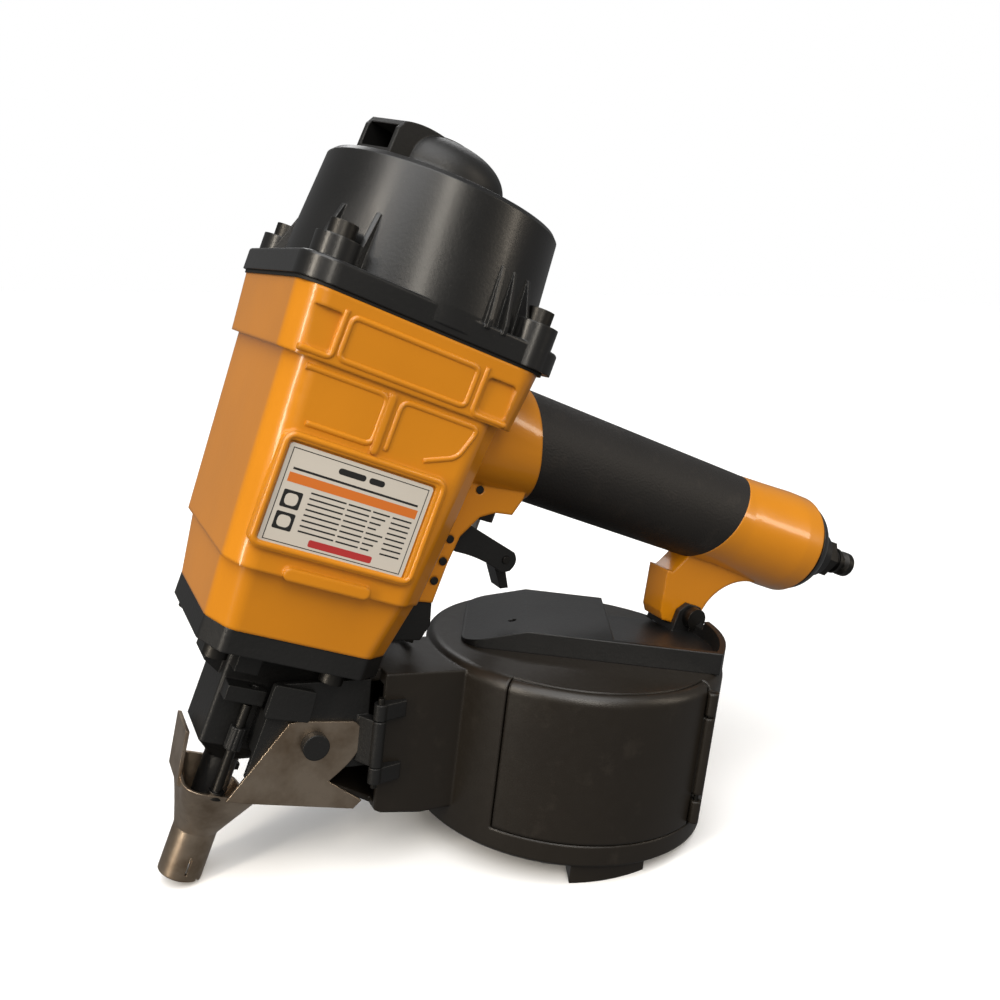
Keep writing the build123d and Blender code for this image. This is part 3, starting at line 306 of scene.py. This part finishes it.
class LabelSettings(bpy.types.PropertyGroup):
    """Layout of the label's generic blocks."""

    line_height: FloatProperty(name="Line height", description="Height of a printed line", unit="LENGTH",
                               default=0.00052)
    line_pitch: FloatProperty(name="Line pitch", description="Distance between lines", unit="LENGTH",
                              default=0.00178)


class StudioSettings(bpy.types.PropertyGroup):
    """Camera and lights."""

    lens: FloatProperty(name="Lens", description="Focal length", default=34.96, unit="CAMERA")
    camera_location: FloatVectorProperty(name="Camera place", description="Camera position",
                                         subtype="TRANSLATION", default=(-0.1912, -0.3205, 0.2208))
    camera_turn: FloatVectorProperty(name="Camera turn", description="Camera rotation", subtype="EULER",
                                     default=(1.330418, -0.022732, -0.455134))
    key_power: FloatProperty(name="Key light", description="Power of the key strips", default=7.0,
                             unit="POWER")
    fill_power: FloatProperty(name="Fill light", description="Power of the fill strips", default=3.0,
                              unit="POWER")
    sky_strength: FloatProperty(name="Sky", description="Strength of the soft light from above", default=3.2)
    room_strength: FloatProperty(name="Room", description="Strength of the room's glow on the tool",
                                 default=0.16)


def settings():
    """The nailer's settings."""
    return bpy.context.scene.nailer_finish, bpy.context.scene.nailer_label, bpy.context.scene.nailer_studio


# ---------------------------------------------------------------- operators
class NAILER_OT_body(bpy.types.Operator):
    """Paints the housing"""

    bl_idname = "nailer.body"
    bl_label = "Housing enamel"

    def execute(self, context):
        finish = settings()[0]
        dress(glossy_enamel("body_enamel", finish.enamel), "main_housing")
        return {"FINISHED"}


class NAILER_OT_cap(bpy.types.Operator):
    """Finishes the cap, its gasket, the deflector and the end cap"""

    bl_idname = "nailer.cap"
    bl_label = "Cap and exhaust"

    def execute(self, context):
        finish = settings()[0]
        dress(satin_black("cap_paint", finish.black, 0.3, relief=0.1, coat=0.25), "cylinder_cap", "end_cap")
        dress(satin_black("deflector_nylon", finish.black, 0.42, 1400.0, 0.2), "exhaust_deflector")
        dress(satin_black("gasket_rubber", finish.black, 0.62), "cap_gasket", "end_cap_seal", "piston_ring",
              "bumper")
        return {"FINISHED"}


class NAILER_OT_grip(bpy.types.Operator):
    """Finishes the rubber grip"""

    bl_idname = "nailer.grip"
    bl_label = "Rubber grip"

    def execute(self, context):
        dress(moulded_rubber("grip_rubber_skin", settings()[0].rubber), "handle_grip")
        return {"FINISHED"}


class NAILER_OT_hardware(bpy.types.Operator):
    """Finishes bolts, pins, springs, plug and working parts"""

    bl_idname = "nailer.hardware"
    bl_label = "Hardware"

    def execute(self, context):
        finish = settings()[0]
        dress(machined_steel("black_oxide", (0.05, 0.048, 0.045), 0.4), "cap_bolts", "nose_bolts",
              "deflector_screw", "hanger_bolt", "air_plug", "trigger_pin", "bracket_pins", "lever_pin",
              "door_hinge_pin", "cover_hinge_pin", "adjuster_rod", "contact_arm")
        dress(machined_steel("bright_steel", (0.5, 0.48, 0.45), 0.28), "piston_driver", "trigger_valve_stem",
              "feed_piston", "feed_pawl", "head_valve_spring", "trigger_valve_spring", "contact_spring",
              "feed_spring")
        dress(machined_steel("cast_aluminium", (0.34, 0.33, 0.32), 0.42), "cylinder_sleeve", "feed_cylinder")
        dress(satin_black("valve_nylon", finish.black, 0.4), "head_valve", "trigger_valve_body",
              "adjuster_nut", "shield_boss")
        dress(satin_black("trigger_paint", finish.black, 0.34), "trigger", "trigger_lever", "arm_cover")
        return {"FINISHED"}


class NAILER_OT_nose(bpy.types.Operator):
    """Finishes the nose, the feed door and the polished foot"""

    bl_idname = "nailer.nose"
    bl_label = "Nose and foot"

    def execute(self, context):
        finish = settings()[0]
        dress(satin_black("nose_oxide", finish.black, 0.4, 700.0, 0.25), "nose_body", "feed_door",
              "door_block", "door_bracket")
        dress(bright_sheet("foot_nickel", finish.nickel, (0.3, 0.22, 0.15)), "contact_foot", "side_shield")
        return {"FINISHED"}


class NAILER_OT_magazine(bpy.types.Operator):
    """Finishes the magazine, its cover, platform and hanger"""

    bl_idname = "nailer.magazine"
    bl_label = "Magazine"

    def execute(self, context):
        finish = settings()[0]
        dress(moulded_nylon("magazine_nylon", finish.nylon), "magazine_body", "magazine_cover")
        dress(satin_black("hanger_paint", finish.black, 0.36), "magazine_hanger")
        dress(moulded_nylon("platform_nylon", finish.nylon), "nail_platform", "platform_post")
        return {"FINISHED"}


def panel_block(mesh, left, right, low, high, front=LABEL_FACE, corner=0.0):
    """Adds one flat block, in the tool's millimetres, with its corners rounded."""
    outline = []
    if corner:
        for cx, cy, start in ((right - corner, high - corner, 0), (left + corner, high - corner, 90),
                              (left + corner, low + corner, 180), (right - corner, low + corner, 270)):
            for step in range(5):
                angle = math.radians(start + step * 22.5)
                outline.append((cx + corner * math.cos(angle), cy + corner * math.sin(angle)))
    else:
        outline = [(right, high), (left, high), (left, low), (right, low)]
    mesh.faces.new([mesh.verts.new(tool_point(x, front, z)) for x, z in outline])


def label_piece(name, mesh, material):
    """Turns the blocks into a piece that rides on the tool."""
    data = bpy.data.meshes.new(name)
    mesh.normal_update()
    mesh.to_mesh(data)
    mesh.free()
    data.materials.append(material)
    piece = bpy.data.objects.new(name, data)
    bpy.context.scene.collection.objects.link(piece)
    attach(piece, "tool")


def rounded_path(corners, radius, closed):
    """Points in millimetres along a path whose corners are rounded."""
    path = []
    count = len(corners)
    for index, corner in enumerate(corners):
        here = Vector(corner)
        if not closed and index in (0, count - 1):
            path.append(here)
            continue
        before = (Vector(corners[index - 1]) - here).normalized()
        after = (Vector(corners[(index + 1) % count]) - here).normalized()
        start = here + before * radius
        end = here + after * radius
        for step in range(7):
            t = step / 6
            path.append(start * (1 - t) ** 2 + here * 2 * t * (1 - t) + end * t ** 2)
    return path


def band_face(z):
    """Depth of a rib on the housing's upper band."""
    return -42.95 - (z - BAND_LEVEL) / 21


def waist_face(z):
    """Depth of a rib below the band."""
    return -40.9 - (z - STEP_LEVEL) / 67


def label_rib_face(z):
    """Depth of the rib round the label."""
    return LABEL_RIB_FACE


def cast_rib(name, corners, depth, width, material, radius, closed=False):
    """A low rounded rib cast on the housing's left face; corners are x and z, depth(z) is y."""
    curve = bpy.data.curves.new(name, "CURVE")
    curve.dimensions = "3D"
    curve.bevel_depth = width / MM_PER_METRE
    curve.bevel_resolution = 5
    curve.use_fill_caps = True
    path = rounded_path(corners, radius, closed)
    spline = curve.splines.new("POLY")
    spline.points.add(len(path) - 1)
    for spot, (x, z) in zip(spline.points, path):
        spot.co = (*tool_point(x, depth(z), z), 1)
    spline.use_cyclic_u = closed
    curve.materials.append(material)
    rib = bpy.data.objects.new(name, curve)
    bpy.context.scene.collection.objects.link(rib)
    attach(rib, "tool")


class NAILER_OT_ribs(bpy.types.Operator):
    """Casts the ribs that frame the housing's panels"""

    bl_idname = "nailer.ribs"
    bl_label = "Housing ribs"

    def execute(self, context):
        enamel = NODES["main_housing"].material_slots[0].material
        cast_rib("name_panel_rib", [(-30.6, 193.6), (14.6, 193.6), (14.6, 207), (-30.6, 207)],
                 band_face, 1.15, enamel, 2.4, True)
        cast_rib("front_panel_rib", [(-43.4, 193), (-32.8, 193), (-32.8, 208.2)],
                 band_face, 1.1, enamel, 2.2)
        cast_rib("rear_panel_rib", [(17.6, 208.2), (17.6, 192.4), (31, 192.4)],
                 band_face, 1.1, enamel, 2.2)
        cast_rib("left_field_rib", [(-38.6, 188.4), (-10.6, 188.4), (-10.6, 172), (-33, 172)],
                 waist_face, 1.15, enamel, 3.2)
        cast_rib("right_field_rib", [(-5.6, 171.8), (-5.6, 188.4), (23, 188.4), (19, 177), (8, 172.6)],
                 waist_face, 1.15, enamel, 3.0)
        cast_rib("label_frame_rib", [(-36.9, 132.8), (17.8, 132.8), (17.8, 167.8), (-36.9, 167.8)],
                 label_rib_face, 1.15, enamel, 3.2, True)
        return {"FINISHED"}


class NAILER_OT_label(bpy.types.Operator):
    """Prints the label with plain blocks and bars"""

    bl_idname = "nailer.label"
    bl_label = "Label artwork"

    def execute(self, context):
        finish, layout, _ = settings()
        dress(printed_vinyl("label_stock", finish.paper), "label_plate")
        left, right, low, high = LABEL_LEFT, LABEL_RIGHT, LABEL_LOW, LABEL_HIGH
        line_height = layout.line_height * MM_PER_METRE
        line_pitch = layout.line_pitch * MM_PER_METRE
        ink = bmesh.new()
        for a, b, c, d in ((left, right, high - LABEL_BORDER, high), (left, right, low, low + LABEL_BORDER),
                           (left, left + LABEL_BORDER, low, high), (right - LABEL_BORDER, right, low, high)):
            panel_block(ink, a, b, c, d)
        for a, b in ((-18, -8.6), (-7.4, -2.0)):
            panel_block(ink, a, b, 160.3, 162.3, corner=0.9)
        panel_block(ink, left + 2, right - 2, 157.6, 158.3)
        for row in range(PRINTED_LINES):
            z = FIRST_LINE - row * line_pitch
            for a, b in ((-24, -12), (-11.2, -3.4), (-2.6, 3.4 - (row * 5) % 4),
                         (4.4 - (row * 3) % 3, 11.4)):
                panel_block(ink, a, b, z, z + line_height)
        for z in ICON_HEIGHTS:
            panel_block(ink, -32.4, -26.2, z - 2.6, z + 3.0, corner=0.5)
        label_piece("label_ink", ink, printed_vinyl("label_black", (0.012, 0.012, 0.012)))
        bars = bmesh.new()
        panel_block(bars, left + 1.4, right - 1.4, 153.6, 156.6)
        label_piece("label_orange_bar", bars, printed_vinyl("label_orange", (0.62, 0.16, 0.02)))
        red = bmesh.new()
        panel_block(red, -19.5, 2.5, 135.6, 137.9, corner=0.6)
        label_piece("label_red_bar", red, printed_vinyl("label_red", (0.42, 0.03, 0.03)))
        pale = bmesh.new()
        for z in ICON_HEIGHTS:
            panel_block(pale, -31.4, -27.2, z - 1.7, z + 2.1, LABEL_FACE - ICON_LIFT, 1.4)
        label_piece("label_icon_ground", pale, printed_vinyl("label_white", (0.58, 0.54, 0.48)))
        return {"FINISHED"}


class NAILER_OT_stage(bpy.types.Operator):
    """Builds the floor, lights, world and camera"""

    bl_idname = "nailer.stage"
    bl_label = "Studio"

    def execute(self, context):
        studio = settings()[2]
        ground = bmesh.new()
        bmesh.ops.create_grid(ground, x_segments=1, y_segments=1, size=6.0)
        data = bpy.data.meshes.new("studio_floor")
        ground.to_mesh(data)
        ground.free()
        floor = bpy.data.objects.new("studio_floor", data)
        floor.location = (0, 0, CAD_BOX[0][2] - 0.0002)
        floor.data.materials.append(studio_floor("floor_paint", (0.96, 0.96, 0.96)))
        context.scene.collection.objects.link(floor)
        floor.visible_diffuse = False
        floor.visible_glossy = False
        sky = bpy.data.lights.new("soft_sky", "SUN")
        sky.energy = studio.sky_strength
        sky.angle = math.radians(70)
        overhead = bpy.data.objects.new("soft_sky", sky)
        overhead.rotation_euler = Euler((math.radians(18), math.radians(-14), 0), "XYZ")
        context.scene.collection.objects.link(overhead)
        for name, place, width, height, power, tone in (
                ("left_strip", (-1.0, -0.35, 0.45), 0.16, 0.9, studio.key_power, (1.0, 0.9, 0.76)),
                ("front_strip", (-0.25, -1.15, 0.75), 0.22, 0.9, studio.key_power * 0.8, (1.0, 0.93, 0.82)),
                ("right_strip", (0.95, -0.75, 0.55), 0.14, 0.8, studio.fill_power, (1.0, 0.88, 0.72)),
                ("rim_strip", (0.3, 0.9, 0.9), 0.9, 0.3, studio.fill_power, (1.0, 1.0, 1.0))):
            lamp = bpy.data.lights.new(name, "AREA")
            lamp.shape = "RECTANGLE"
            lamp.size = width
            lamp.size_y = height
            lamp.energy = power
            lamp.color = tone
            light = bpy.data.objects.new(name, lamp)
            light.location = place
            aim = LIGHT_TARGET - Vector(place)
            light.rotation_euler = aim.to_track_quat("-Z", "Y").to_euler()
            context.scene.collection.objects.link(light)
        world = Shader("studio_world", "worlds")
        seen = world.add("ShaderNodeLightPath")
        strength = world.add("ShaderNodeMapRange", numbered={0: seen, 3: studio.room_strength, 4: 1.0})
        backdrop = world.add("ShaderNodeBackground", Color=(1, 1, 1, 1), Strength=strength)
        world.add("ShaderNodeOutputWorld", Surface=backdrop)
        context.scene.world = world.owner
        lens = bpy.data.cameras.new("studio_camera")
        lens.sensor_width = 36.0
        lens.lens = studio.lens
        lens.clip_start = 0.01
        camera = bpy.data.objects.new("studio_camera", lens)
        camera.location = studio.camera_location
        camera.rotation_euler = Euler(studio.camera_turn, "XYZ")
        context.scene.collection.objects.link(camera)
        context.scene.camera = camera
        context.scene.view_settings.view_transform = "Standard"
        return {"FINISHED"}


STEPS = (NAILER_OT_body, NAILER_OT_ribs, NAILER_OT_cap, NAILER_OT_grip, NAILER_OT_hardware,
         NAILER_OT_nose, NAILER_OT_magazine, NAILER_OT_label, NAILER_OT_stage)


class NAILER_PT_panel(bpy.types.Panel):
    """Lists the nailer's steps"""

    bl_label = "Coil Nailer"
    bl_idname = "NAILER_PT_panel"
    bl_space_type = "VIEW_3D"
    bl_region_type = "UI"
    bl_category = "Coil Nailer"

    def draw(self, context):
        for step in STEPS:
            self.layout.operator(step.bl_idname)


CLASSES = (FinishSettings, LabelSettings, StudioSettings, *STEPS, NAILER_PT_panel)


def register():
    """Registers the classes and the scene's settings."""
    for entry in CLASSES:
        bpy.utils.register_class(entry)
    bpy.types.Scene.nailer_finish = PointerProperty(type=FinishSettings)
    bpy.types.Scene.nailer_label = PointerProperty(type=LabelSettings)
    bpy.types.Scene.nailer_studio = PointerProperty(type=StudioSettings)


def unregister():
    """Removes them again."""
    del bpy.types.Scene.nailer_studio
    del bpy.types.Scene.nailer_label
    del bpy.types.Scene.nailer_finish
    for entry in reversed(CLASSES):
        bpy.utils.unregister_class(entry)


def main():
    """Runs every step in order."""
    register()
    for step in STEPS:
        group, name = step.bl_idname.split(".")
        getattr(getattr(bpy.ops, group), name)()


if __name__ == "__main__":
    main()
